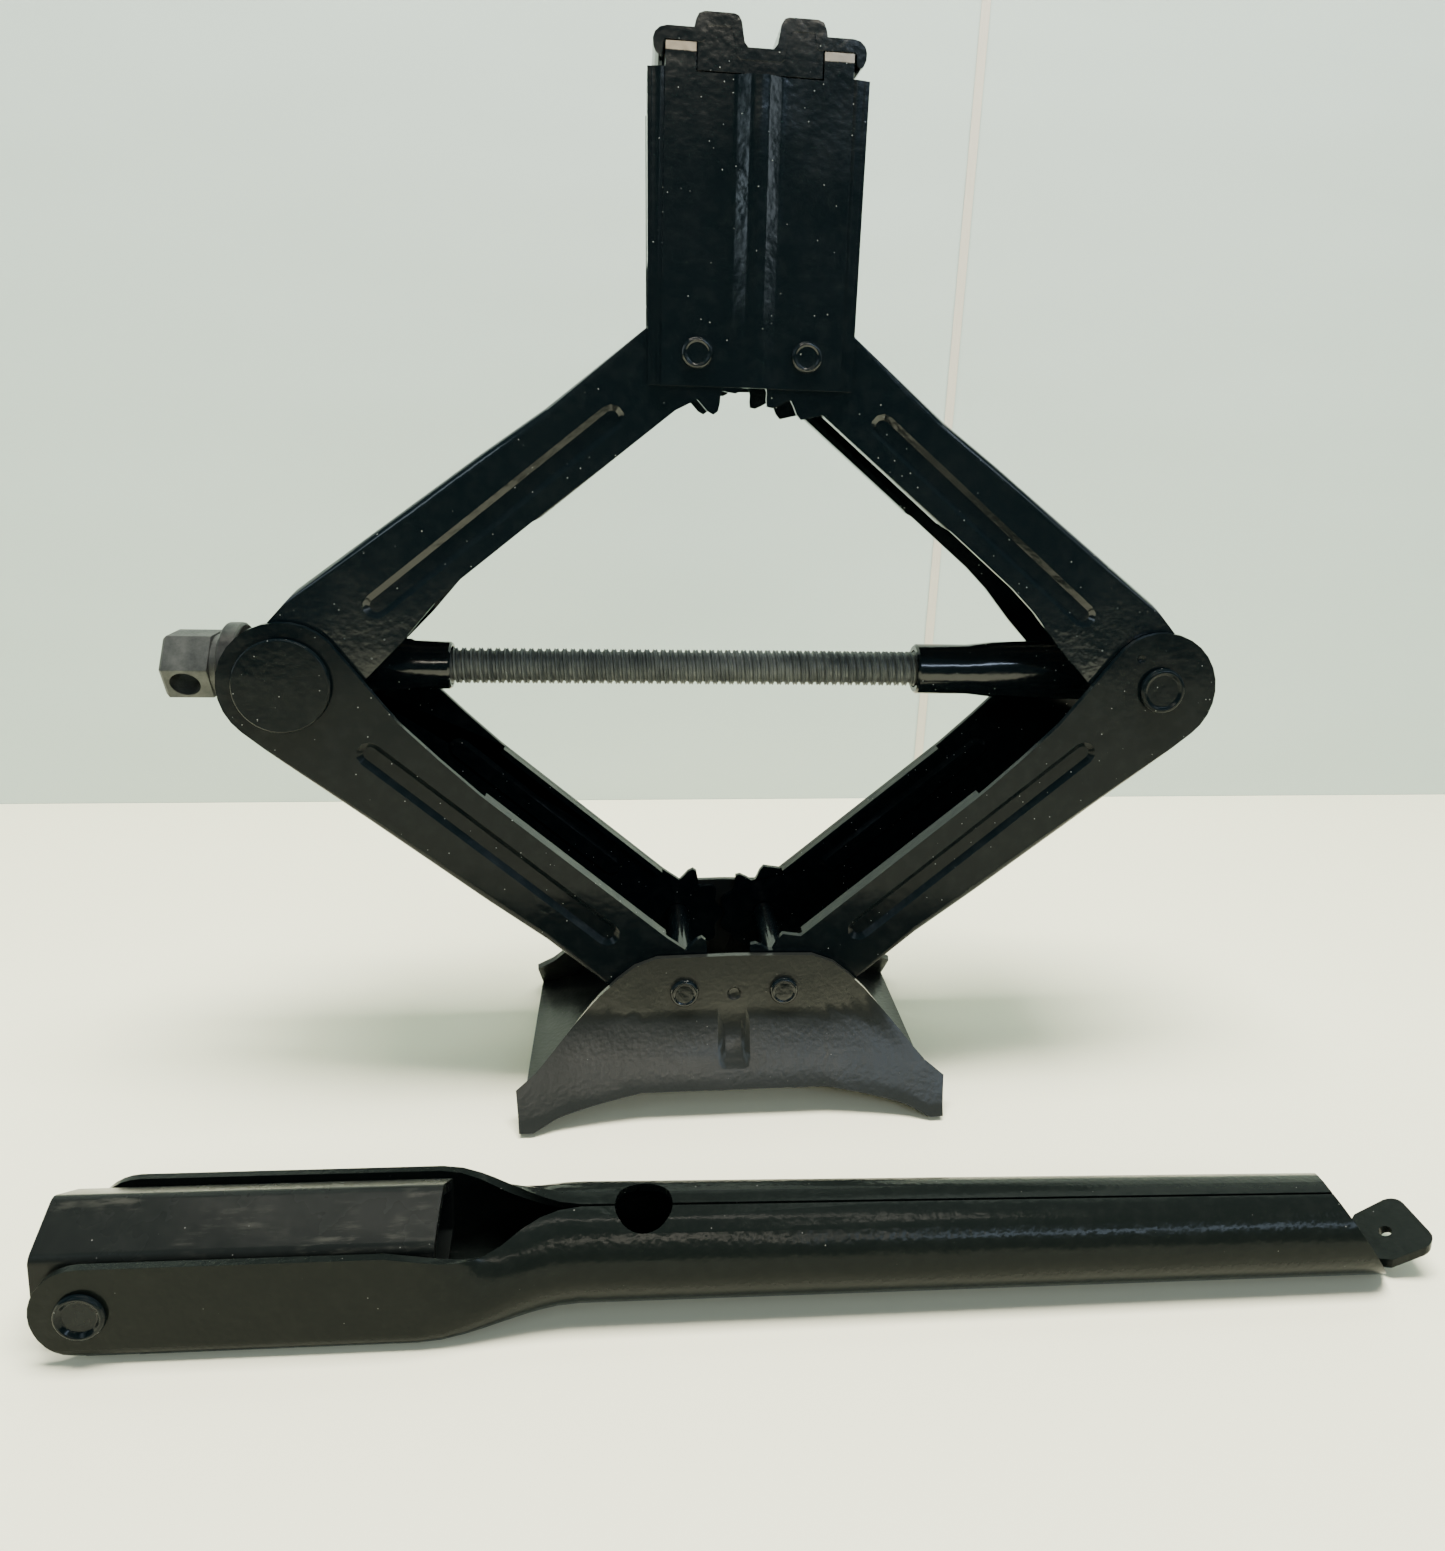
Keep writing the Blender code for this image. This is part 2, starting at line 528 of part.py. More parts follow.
def screw_rod():
    """The lead screw: a plain shank on the left and a real helical thread to its free end."""
    segments = 10
    crest = (THREAD_ROOT, THREAD_CREST, THREAD_CREST)
    shares = (0.0, 0.36, 0.64)
    points = []

    def ring(x, radius):
        first = len(points)
        for k in range(segments):
            angle = 2 * math.pi * k / segments
            points.append((x, radius * math.cos(angle), TRUNNION_Z + radius * math.sin(angle)))
        return first

    start = [ring(-184.5, 5.4), ring(-183.9, 6.0), ring(THREAD_START - 2.0, 6.0)]
    lines = THREAD_TURNS * 3 + 1
    thread = len(points)
    for i in range(lines):
        turn, step = divmod(i, 3)
        radius = THREAD_ROOT if i < 4 or i > lines - 5 else crest[step]
        x = THREAD_START + THREAD_PITCH * (turn + shares[step])
        for k in range(segments):
            angle = 2 * math.pi * k / segments
            along = x + THREAD_PITCH * k / segments
            points.append((along, radius * math.cos(angle), TRUNNION_Z + radius * math.sin(angle)))
    finish = [ring(SCREW_END - 0.8, THREAD_ROOT), ring(SCREW_END, 4.8)]

    def at(i, k):
        return thread + (i + 3 * (k // segments)) * segments + k % segments

    faces = [tuple(range(segments))]
    for a, b in ((start[0], start[1]), (start[1], start[2]), (finish[0], finish[1])):
        for k in range(segments):
            j = (k + 1) % segments
            faces.append((a + k, a + j, b + j, b + k))
    for k in range(segments):
        for i in range(lines - 1):
            if k == segments - 1 and i + 4 > lines - 1:
                continue
            faces.append((at(i, k), at(i, k + 1), at(i + 1, k + 1), at(i + 1, k)))
    for k in range(segments - 1):
        faces.append((start[2] + k, start[2] + k + 1, at(0, k + 1), at(0, k)))
        faces.append((finish[0] + k, finish[0] + k + 1, at(lines - 1, k + 1), at(lines - 1, k)))
    k = segments - 1
    faces.append((start[2] + k, start[2], at(0, 0), at(1, 0), at(2, 0), at(3, 0), at(0, k)))
    ends = [at(i, k) for i in range(lines - 4, lines)]
    faces.append((finish[0] + k, finish[0], at(lines - 1, 0), *ends))
    faces.append(tuple(range(finish[1], finish[1] + segments)))
    return new_object("screw_rod", points, faces)


def hexagon(flats, point_up):
    radius = flats / math.sqrt(3.0)
    offset = 90.0 if point_up else 0.0
    turns = [math.radians(offset + 60.0 * k) for k in range(6)]
    return [(radius * math.cos(turn), radius * math.sin(turn)) for turn in turns]


def hex_drive_head():
    """The hexagon the handle's socket turns, with a hub behind it and a hole through its flats."""
    chamfer = 1.3
    loops = ((HEX_LEFT, 1.0 - 2 * chamfer / HEX_ACROSS_FLATS), (HEX_LEFT + chamfer, 1.0), (HEX_RIGHT, 1.0))
    corners = hexagon(HEX_ACROSS_FLATS, True)
    turn = math.radians(30.0)
    points = []
    for x, share in loops:
        for y, z in corners:
            across = share * (y * math.cos(turn) - z * math.sin(turn))
            up = share * (y * math.sin(turn) + z * math.cos(turn))
            points.append((x, across, TRUNNION_Z + up))
    faces = ring_faces(3, 6, 6) + [tuple(range(6)), tuple(range(12, 18))]
    head = new_object("hex_drive_head", points, faces)
    hub = turned("hub", ((HEX_RIGHT - 1.0, 10.4), (-180.3, 10.4)), "X", (0.0, TRUNNION_Z), 28)
    combine(head, hub, "UNION")
    bore = turned("bore", ((-184.9, 6.4), (-170.0, 6.4)), "X", (0.0, TRUNNION_Z), 24)
    cross = turned("cross", ((-30.0, 5.0), (30.0, 5.0)), "Z", (-191.4, 0.0), 20)
    for vertex in cross.data.vertices:
        vertex.co.z += TRUNNION_Z * MM
    rotate_about(cross, "X", math.radians(-60.0), (0.0, 0.0, TRUNNION_Z))
    return combine(head, merged([bore, cross], "cuts"), "DIFFERENCE")


def rotate_about(obj, axis, angle, centre):
    middle = Vector(centre) * MM
    turn = Matrix.Rotation(angle, 4, axis)
    for vertex in obj.data.vertices:
        vertex.co = middle + turn @ (vertex.co - middle)


def thrust_parts():
    """The stack that takes the screw's push: a fixed race, the ball cage and the turning collar."""
    centre = (0.0, TRUNNION_Z)
    race = tube("thrust_race", ((-170.0, 13.2, 13.2, BORE_RADIUS), (-166.9, 13.6, 13.6, BORE_RADIUS)), centre)
    cage_profile = ((-173.4, 11.6, 11.6, 7.4), (-172.9, 12.6, 12.6, 7.4))
    cage_profile += ((-170.8, 12.6, 12.6, 7.4), (-170.3, 11.6, 11.6, 7.4))
    cage = tube("thrust_ball_cage", cage_profile, centre)
    collar_profile = ((-180.0, 13.9, 13.9, 6.4), (-179.2, 14.75, 14.75, 6.4))
    collar_profile += ((-174.6, 14.75, 14.75, 6.4), (-173.8, 13.9, 13.9, 6.4))
    collar = tube("thrust_collar", collar_profile, centre)
    return [race, cage, collar]


def sleeves():
    """The guide sleeve beside the thrust block, and the long crimped nut sleeve on the other side."""
    centre = (0.0, TRUNNION_Z)
    left = -TRUNNION_X + TRUNNION_RADIUS + GAP
    guide_profile = ((left, 10.4, 10.4, BORE_RADIUS), (-117.0, 9.5, 9.5, BORE_RADIUS), (-116.0, 8.9, 8.9, BORE_RADIUS))
    guide_profile += ((-103.2, 8.6, 8.6, BORE_RADIUS), (-102.5, 8.0, 8.0, BORE_RADIUS))
    guide = tube("screw_guide_sleeve", guide_profile, centre)
    right = TRUNNION_X - TRUNNION_RADIUS - GAP
    nut_profile = ((68.5, 8.7, 8.7, BORE_RADIUS), (69.3, 9.5, 9.5, BORE_RADIUS), (89.0, 9.5, 9.5, BORE_RADIUS))
    nut_profile += ((99.0, 9.0, 10.6, BORE_RADIUS), (118.0, 9.0, 11.3, BORE_RADIUS), (right, 10.2, 11.5, BORE_RADIUS))
    nut = tube("nut_sleeve", nut_profile, centre)
    return [guide, nut]


def shank_path(x):
    """The handle's outer face at one station, as (y, z) from the front edge under it to the rear one."""
    front = interpolate(FRONT_WALL_TOP, x)
    rear = interpolate(REAR_WALL_TOP, x)
    share = min(max((x + 92.0) / 42.0, 0.0), 1.0)
    share = share * share * (3.0 - 2.0 * share)
    radius = interpolate(((-60.0, TUBE_WIDE_RADIUS), (190.0, TUBE_END_RADIUS)), x)
    lift = interpolate(((-60.0, TUBE_LIFT), (190.0, 0.05)), x)
    path = []
    for i in range(-12, 13):
        side, height = (-1.0, front) if i < 0 else (1.0, rear)
        part = 1.0 - abs(i) / 12
        if part < 0.5:
            trough = (side * CHANNEL_HALF, height - (height - 5.0) * part / 0.5)
        else:
            turn = math.radians(90.0 * min((part - 0.5) / 0.34, 1.0))
            trough = (side * (CHANNEL_HALF - 5.0 * (1.0 - math.cos(turn))), 5.0 - 5.0 * math.sin(turn))
            if part > 0.84:
                trough = (trough[0] * (1.0 - part) / (1.0 - 0.8334), 0.0)
        angle = math.radians(side * SEAM_TURN * (1.0 - part) + SEAM_LEAN)
        reach = radius - (SEAM_DIP if abs(i) == 12 else 0.0)
        round_point = (reach * math.sin(angle), radius + lift - reach * math.cos(angle))
        path.append(tuple(a + (b - a) * share for a, b in zip(trough, round_point)))
    return path


def handle_shank():
    """The handle: an open channel that closes into a seamed tube and ends in a flat tongue."""
    stations = [-189.0, -170.0, -130.0, -100.0, -92.0, -86.0, -80.0, -76.0, -71.0, -66.0, -61.0, -56.0, -50.0]
    stations += [-44.0, -20.0, 40.0, 110.0, 190.0]
    sections = []
    for x in stations:
        outer = shank_path(x)
        sections.append([[(x, y, z) for y, z in path] for path in (outer, inner_path(outer, SHEET))])
    shank = sheet_sweep("handle_shank", sections)
    ear = [(-205.0, -5.0), (WEB_START, -5.0), (WEB_START, 1.7), (EAR_X, 1.7)]
    ear += arc((EAR_X, EAR_Z), EAR_RADIUS, -91.0, -269.0, 16) + [(EAR_X, 45.0), (-205.0, 45.0)]
    slant = [(TUBE_TOP_END - 1.5, 31.0), (TUBE_BOTTOM_END, -1.0), (230.0, -1.0), (230.0, 31.0)]
    combine(shank, prism("ear_cut", ear, -40.0, 40.0), "DIFFERENCE")
    combine(shank, box("web_cut", (-200.0, WEB_START), (-14.6, 14.6), (-5.0, 8.0)), "DIFFERENCE")
    combine(shank, prism("slant_cut", slant, -40.0, 40.0), "DIFFERENCE")
    pin_cut = hole(EAR_X, EAR_Z, 4.3, segments=24)
    notch = turned("notch", ((16.0, 8.0), (40.0, 8.0)), "Z", (-33.0, 0.0), 28)
    rotate_about(notch, "X", math.radians(SEAM_LEAN), (-33.0, 0.0, TUBE_WIDE_RADIUS + TUBE_LIFT))
    combine(shank, merged([pin_cut, notch], "cuts"), "DIFFERENCE")
    combine(shank, tongue(), "UNION")
    run = TONGUE_EYE_X - TONGUE_BEND_X
    eye = turned("eye", ((-2.0, 1.9), (16.0, 1.9)), "Z", (TONGUE_EYE_X, TONGUE_SIDE), 16)
    rise = 3.0 + run * math.tan(TONGUE_PITCH)
    rotate_about(eye, "Y", -TONGUE_PITCH, (TONGUE_EYE_X, TONGUE_SIDE, rise))
    return combine(shank, eye, "DIFFERENCE")


def tongue():
    """The flat tab at the handle's tip, bent upwards out of the tube's floor."""
    corner = TONGUE_END - TONGUE_CORNER
    inner = TONGUE_HALF - TONGUE_CORNER
    corners = arc((corner, inner), TONGUE_CORNER, 90.0, 0.0, 5)
    corners += arc((corner, -inner), TONGUE_CORNER, 0.0, -90.0, 5)
    root = [(150.0, 5.0), (TONGUE_BEND_X - 1.0, 5.5), (TONGUE_BEND_X + 4.5, TONGUE_HALF - 0.6)]
    outline = root + corners + [(x, -y) for x, y in reversed(root)]
    outline = [(x, y + TONGUE_SIDE) for x, y in outline]
    tab = prism("tongue", outline, 1.6, 4.4, "Z")
    shape = bmesh.new()
    shape.from_mesh(tab.data)
    everything = shape.verts[:] + shape.edges[:] + shape.faces[:]
    fold = Vector((TONGUE_BEND_X, 0.0, 0.0)) * MM
    bmesh.ops.bisect_plane(shape, geom=everything, plane_co=fold, plane_no=(1.0, 0.0, 0.0))
    for vertex in shape.verts:
        run = max(vertex.co.x - TONGUE_BEND_X * MM, 0.0)
        vertex.co.z += run * math.tan(TONGUE_PITCH)
    shape.to_mesh(tab.data)
    shape.free()
    return tab


def socket_tube():
    """The folding hexagon socket that rides in the handle's channel."""
    points = []
    for x in (SOCKET_LEFT, SOCKET_RIGHT):
        for flats in (SOCKET_FLATS, SOCKET_BORE):
            points.extend((x, y, SOCKET_Z + z) for y, z in rounded_hexagon(flats))
    count = len(points) // 4
    faces = []
    for k in range(count):
        j = (k + 1) % count
        faces.append((k, j, count + j, count + k))
        faces.append((2 * count + k, 2 * count + j, 3 * count + j, 3 * count + k))
        faces.append((k, j, 2 * count + j, 2 * count + k))
        faces.append((count + k, count + j, 3 * count + j, 3 * count + k))
    socket = new_object("socket_tube", points, faces)
    return combine(socket, hole(EAR_X, EAR_Z, 4.3, segments=24), "DIFFERENCE")


def rounded_hexagon(flats):
    """A hexagon with its corners rounded, one corner upwards."""
    radius = 3.0 if flats > 25.0 else 0.8
    reach = (flats / 2 - radius) * 2.0 / math.sqrt(3.0)
    points = []
    for k in range(6):
        middle = 90.0 + 60.0 * k
        centre = (reach * math.cos(math.radians(middle)), reach * math.sin(math.radians(middle)))
        points.extend(arc(centre, radius, middle - 30.0, middle + 30.0, 3))
    return points


def handle_rivet():
    head = CHANNEL_HALF + GAP
    half = [(head + 0.4, 4.4), (head + 1.5, 5.5), (head + 1.4, 6.1), (head + 0.7, 6.6), (head, 6.6), (head, 4.0)]
    profile = [(-along, radius) for along, radius in half] + list(reversed(half))
    return turned("handle_rivet", profile, "Y", (EAR_X, EAR_Z), 28)


def set_down(obj):
    """Turns a piece of the handle a little and lays it in front of the jack."""
    turn = Matrix.Rotation(HANDLE_YAW, 4, "Z")
    for vertex in obj.data.vertices:
        vertex.co = turn @ vertex.co + Vector((0.0, HANDLE_Y, 0.0)) * MM


def jack_pieces():
    pieces = [base_plate()]
    for upper, level in ((False, "lower"), (True, "upper")):
        for left, side in ((True, "left"), (False, "right")):
            pieces.append(arm(f"{level}_arm_{side}", upper, left))
    pieces += [tower_channel("tower_front_channel", True), tower_channel("tower_rear_channel", False)]
    pieces.append(saddle_cap())
    for sign, side in ((-1, "left"), (1, "right")):
        pieces.append(pin(f"base_pin_{side}", sign * PIN_HALF_SPACING, BASE_PIN_Z, BASE_OUT))
        pieces.append(pin(f"tower_pin_{side}", sign * PIN_HALF_SPACING, TOWER_PIN_Z, TOWER_OUT))
    pieces.append(trunnion("thrust_trunnion", -1, THRUST_JOURNAL_RADIUS))
    pieces.append(trunnion("nut_trunnion", 1, NUT_JOURNAL_RADIUS))
    for front, end in ((True, "front"), (False, "rear")):
        pieces.append(trunnion_cap(f"thrust_trunnion_disc_{end}", -1, front, DISC_RADIUS, False))
        pieces.append(trunnion_cap(f"nut_trunnion_rivet_{end}", 1, front, NUT_RIVET_RADIUS, True))
    return pieces + thrust_parts() + sleeves()


def centre_on_floor(objects):
    """Moves everything so that the origin is under the middle of the whole set."""
    corners = [vertex.co for obj in objects for vertex in obj.data.vertices]
    low = Vector([min(point[i] for point in corners) for i in range(3)])
    high = Vector([max(point[i] for point in corners) for i in range(3)])
    shift = Vector((-(low.x + high.x) / 2, -(low.y + high.y) / 2, -low.z))
    for obj in objects:
        for vertex in obj.data.vertices:
            vertex.co += shift
    print("moved by", [round(value / MM, 4) for value in shift])


def finish_shading(obj, material):
    obj.data.materials.clear()
    obj.data.materials.append(material)
    obj.data.shade_smooth()
    obj.data.set_sharp_from_angle(angle=math.radians(32.0))


def main():
    clear_scene()
    black = painted("black_paint", (0.012, 0.014, 0.016), 0.3, 0.0)
    grey = painted("dark_steel", (0.05, 0.055, 0.055), 0.5, 0.8)
    steel = painted("phosphated_steel", (0.12, 0.125, 0.12), 0.5, 0.9)
    black_pieces = jack_pieces()
    steel_pieces = [screw_rod(), hex_drive_head()]
    handle_pieces = [handle_shank(), socket_tube(), handle_rivet()]
    for obj in handle_pieces:
        set_down(obj)
    centre_on_floor(black_pieces + steel_pieces + handle_pieces)
    for obj in black_pieces:
        turned_piece = obj.name.startswith("thrust_") and "disc" not in obj.name
        finish_shading(obj, grey if turned_piece else black)
    for obj in steel_pieces:
        finish_shading(obj, steel)
    for obj in handle_pieces:
        finish_shading(obj, black)


main()
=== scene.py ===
import bpy
import json
import math
from mathutils import Matrix, Vector


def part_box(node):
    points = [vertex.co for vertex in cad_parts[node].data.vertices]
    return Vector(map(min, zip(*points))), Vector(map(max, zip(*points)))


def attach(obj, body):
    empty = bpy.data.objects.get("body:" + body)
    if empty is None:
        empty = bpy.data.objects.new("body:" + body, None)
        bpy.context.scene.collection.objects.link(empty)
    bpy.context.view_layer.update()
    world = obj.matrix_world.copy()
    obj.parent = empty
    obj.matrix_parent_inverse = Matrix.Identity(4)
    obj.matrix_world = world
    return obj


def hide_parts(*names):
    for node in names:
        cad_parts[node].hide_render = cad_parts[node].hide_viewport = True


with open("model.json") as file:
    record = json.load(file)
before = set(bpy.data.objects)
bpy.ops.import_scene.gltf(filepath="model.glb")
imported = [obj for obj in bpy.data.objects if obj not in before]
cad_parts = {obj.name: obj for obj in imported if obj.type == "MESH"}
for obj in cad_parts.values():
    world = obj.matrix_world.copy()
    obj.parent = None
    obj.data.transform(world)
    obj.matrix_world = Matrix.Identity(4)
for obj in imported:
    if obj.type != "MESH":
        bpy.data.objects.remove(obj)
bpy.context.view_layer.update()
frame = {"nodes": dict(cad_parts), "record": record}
nodes = frame["nodes"]
bodyOfNode = {
    node: body
    for body, members in frame["record"]["behaviour"]["bodies"].items()
    for node in members
}
mm = 0.001

# Places that everything else is worked out from, all read from the frame.
lowBase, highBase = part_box("base_plate")
lowThread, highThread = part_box("screw_rod")
jackX = (lowBase.x + highBase.x) / 2
jackY = (lowBase.y + highBase.y) / 2
screwZ = (lowThread.z + highThread.z) / 2


cameraSettings = {
    "offset": (-37.9, -419.8, 246.0),  # mm from the middle of the base, on the floor
    "yaw": 7.37, "pitch": 10.86, "roll": 2.02,  # degrees
    "lens": 28.69, "sensorWidth": 36, "shiftX": -0.0390, "shiftY": -0.0941,
    "nearest": 0.01,  # metres
}


def addCamera(settings):
    yaw, pitch, roll = (math.radians(settings[key]) for key in ("yaw", "pitch", "roll"))
    forward = Vector((
        math.sin(yaw) * math.cos(pitch),
        math.cos(yaw) * math.cos(pitch),
        -math.sin(pitch),
    ))
    levelRight = Vector((math.cos(yaw), -math.sin(yaw), 0))
    levelUp = levelRight.cross(forward)
    right = levelRight * math.cos(roll) + levelUp * math.sin(roll)
    up = levelUp * math.cos(roll) - levelRight * math.sin(roll)
    data = bpy.data.cameras.new("camera")
    data.sensor_fit = "HORIZONTAL"
    data.sensor_width = settings["sensorWidth"]
    data.lens = settings["lens"]
    data.shift_x = settings["shiftX"]
    data.shift_y = settings["shiftY"]
    data.clip_start = settings["nearest"]
    camera = bpy.data.objects.new("camera", data)
    bpy.context.scene.collection.objects.link(camera)
    turn = Matrix((right, up, -forward)).transposed().to_4x4()
    place = Vector(settings["offset"]) * mm + Vector((jackX, jackY, 0))
    camera.matrix_world = Matrix.Translation(place) @ turn
    bpy.context.scene.camera = camera
    print("camera placed")


addCamera(cameraSettings)


def addNode(tree, kind, **values):
    node = tree.nodes.new(kind)
    for key, value in values.items():
        if hasattr(node, key):
            setattr(node, key, value)
        else:
            node.inputs[key.replace("_", " ")].default_value = value
    return node


def newMaterial(name, colour, roughness, metallic=0.0):
    material = bpy.data.materials.new(name)
    material.use_nodes = True
    tree = material.node_tree
    shader = tree.nodes["Principled BSDF"]
    shader.inputs["Base Color"].default_value = (*colour, 1)
    shader.inputs["Roughness"].default_value = roughness
    shader.inputs["Metallic"].default_value = metallic
    material.diffuse_color = (*colour, 1)
    coordinates = addNode(tree, "ShaderNodeTexCoord")
    return material, tree, shader, coordinates.outputs["Object"]


def noise(tree, coordinates, scale, detail=3.0, rough=0.5, distortion=0.0):
    texture = addNode(tree, "ShaderNodeTexNoise")
    texture.inputs["Scale"].default_value = scale
    texture.inputs["Detail"].default_value = detail
    texture.inputs["Roughness"].default_value = rough
    texture.inputs["Distortion"].default_value = distortion
    tree.links.new(coordinates, texture.inputs["Vector"])
    return texture.outputs["Fac"]


def ramp(tree, source, stops, values):
    node = addNode(tree, "ShaderNodeValToRGB")
    elements = node.color_ramp.elements
    while len(elements) < len(stops):
        elements.new(0.5)
    for element, stop, value in zip(elements, stops, values):
        element.position = stop
        colour = value if isinstance(value, tuple) else (value, value, value)
        element.color = (*colour, 1)
    tree.links.new(source, node.inputs["Fac"])
    return node.outputs["Color"]


def mixed(tree, factor, first, second, blend="MIX"):
    node = addNode(tree, "ShaderNodeMix")
    node.data_type = "RGBA"
    node.blend_type = blend
    sockets = (node.inputs[0], node.inputs[6], node.inputs[7])
    for socket, value in zip(sockets, (factor, first, second)):
        if isinstance(value, bpy.types.NodeSocket):
            tree.links.new(value, socket)
        elif isinstance(value, tuple):
            socket.default_value = (*value, 1)
        else:
            socket.default_value = value
    return node.outputs[2]


def bumped(tree, shader, heights):
    # heights: (socket, strength, distance) from the coarsest to the finest
    last = None
    for height, strength, distance in heights:
        bump = addNode(tree, "ShaderNodeBump")
        bump.inputs["Strength"].default_value = strength
        bump.inputs["Distance"].default_value = distance
        tree.links.new(height, bump.inputs["Height"])
        if last:
            tree.links.new(last, bump.inputs["Normal"])
        last = bump.outputs["Normal"]
    tree.links.new(last, shader.inputs["Normal"])


blackPaintSettings = {
    "colour": (0.0020, 0.0042, 0.0052), "roughness": 0.12, "ior": 1.46, "spread": 0.10,
    "orangePeel": 420, "orangePeelStrength": 0.10,
    "dustSpecks": 700, "dustAmount": 0.07, "dust": (0.55, 0.58, 0.55),
}


# what every paint has in common, with depths in metres
paintTexture = {
    "cloudScale": 38, "smoother": 0.03,
    "speckReach": 0.16, "speckRoughness": 0.8, "speckStrength": 0.3, "speckDepth": 0.0002,
    "filmScale": 260, "film": 0.006,
    "waveScale": 46, "waveStrength": 0.10, "waveDepth": 0.004, "peelDepth": 0.0006,
}


def makePaint(name, settings):
    material, tree, shader, place = newMaterial(name, settings["colour"], settings["roughness"])
    shader.inputs["IOR"].default_value = settings["ior"]
    cloud = noise(tree, place, paintTexture["cloudScale"], 4, 0.6)
    fine = noise(tree, place, paintTexture["filmScale"], 2)
    smoothest = settings["roughness"] - paintTexture["smoother"]
    roughness = ramp(tree, cloud, (0.3, 0.7), (smoothest, smoothest + settings["spread"]))
    # scattered specks of dust, and a thin film of it
    specks = addNode(tree, "ShaderNodeTexVoronoi")
    specks.inputs["Scale"].default_value = settings["dustSpecks"]
    tree.links.new(place, specks.inputs["Vector"])
    reach = paintTexture["speckReach"]
    grain = ramp(tree, specks.outputs["Distance"], (0.0, reach), (1.0, 0.0))
    chance = addNode(tree, "ShaderNodeSeparateColor")
    tree.links.new(specks.outputs["Color"], chance.inputs["Color"])
    clean = 1 - settings["dustAmount"]
    chosen = ramp(tree, chance.outputs["Red"], (clean, clean + 0.01), (0.0, 1.0))
    dusty = mixed(tree, 1.0, grain, chosen, "MULTIPLY")
    film = ramp(tree, fine, (0.45, 0.8), (0.0, paintTexture["film"]))
    dirt = mixed(tree, 1.0, dusty, film, "ADD")
    colour = mixed(tree, dirt, settings["colour"], settings["dust"])
    tree.links.new(colour, shader.inputs["Base Color"])
    dull = mixed(tree, dusty, roughness, (paintTexture["speckRoughness"],) * 3)
    tree.links.new(dull, shader.inputs["Roughness"])
    peel = noise(tree, place, settings["orangePeel"], 1.5, 0.4)
    waves = noise(tree, place, paintTexture["waveScale"], 1.0, 0.4)
    bumped(tree, shader, (
        (waves, paintTexture["waveStrength"], paintTexture["waveDepth"]),
        (peel, settings["orangePeelStrength"], paintTexture["peelDepth"]),
        (dusty, paintTexture["speckStrength"], paintTexture["speckDepth"]),
    ))
    return material


armPaintSettings = {**blackPaintSettings, "roughness": 0.16, "ior": 1.22}

satinPaintSettings = {
    "colour": (0.0050, 0.0068, 0.0060), "roughness": 0.17, "ior": 1.18, "spread": 0.07,
    "orangePeel": 620, "orangePeelStrength": 0.16,
    "dustSpecks": 800, "dustAmount": 0.02, "dust": (0.30, 0.30, 0.27),
}

basePaintSettings = {
    **satinPaintSettings, "colour": (0.0120, 0.0134, 0.0118),
    "ior": 1.42, "roughness": 0.33, "spread": 0.04,
}

# where the bare edge starts and how softly, in mm, and its wobble in metres
wornEdgeSettings = {
    "low": 357.5, "blend": 0.15, "wobble": 0.0006, "wobbleScale": 320,
    "colour": (0.36, 0.31, 0.24), "roughness": 0.32,
}


def bareTopEdge(material, settings):
    # the sheet's sheared top edge under the cap's shoulders has lost its paint
    tree = material.node_tree
    shader = tree.nodes["Principled BSDF"]
    place = addNode(tree, "ShaderNodeTexCoord").outputs["Object"]
    split = addNode(tree, "ShaderNodeSeparateXYZ")
    tree.links.new(place, split.inputs["Vector"])
    band = addNode(tree, "ShaderNodeMapRange")
    band.inputs["From Min"].default_value = (settings["low"] - settings["blend"]) * mm
    band.inputs["From Max"].default_value = (settings["low"] + settings["blend"]) * mm
    wobble = addNode(tree, "ShaderNodeMath")
    wobble.operation = "MULTIPLY_ADD"
    wobble.inputs[1].default_value = settings["wobble"]
    tree.links.new(noise(tree, place, settings["wobbleScale"], 3), wobble.inputs[0])
    tree.links.new(split.outputs["Z"], wobble.inputs[2])
    tree.links.new(wobble.outputs[0], band.inputs["Value"])
    bare = band.outputs["Result"]
    paint = shader.inputs["Base Color"].links[0].from_socket
    shine = shader.inputs["Roughness"].links[0].from_socket
    tree.links.new(mixed(tree, bare, paint, settings["colour"]), shader.inputs["Base Color"])
    bareShine = mixed(tree, bare, shine, (settings["roughness"],) * 3)
    tree.links.new(bareShine, shader.inputs["Roughness"])
    tree.links.new(bare, shader.inputs["Metallic"])
    return material


steelSettings = {
    "screw": {
        "colour": (0.072, 0.080, 0.080), "light": (0.15, 0.16, 0.155),
        "roughness": 0.50, "metallic": 0.45,
    },
    "drive": {
        "colour": (0.040, 0.043, 0.041), "light": (0.095, 0.098, 0.090),
        "roughness": 0.55, "metallic": 0.5,
    },
    "bearing": {
        "colour": (0.012, 0.013, 0.013), "light": (0.05, 0.05, 0.045),
        "roughness": 0.38, "metallic": 0.4,
    },
}


wornPaintSettings = {
    "colour": (0.0070, 0.0085, 0.0078), "roughness": 0.24, "ior": 1.20, "spread": 0.10,
    "orangePeel": 300, "orangePeelStrength": 0.10,
    "dustSpecks": 800, "dustAmount": 0.03, "dust": (0.30, 0.30, 0.27),
    "scuffs": (0.030, 0.031, 0.026), "scuffScale": 60, "scuffStretch": (0.16, 1.0, 1.0),
}


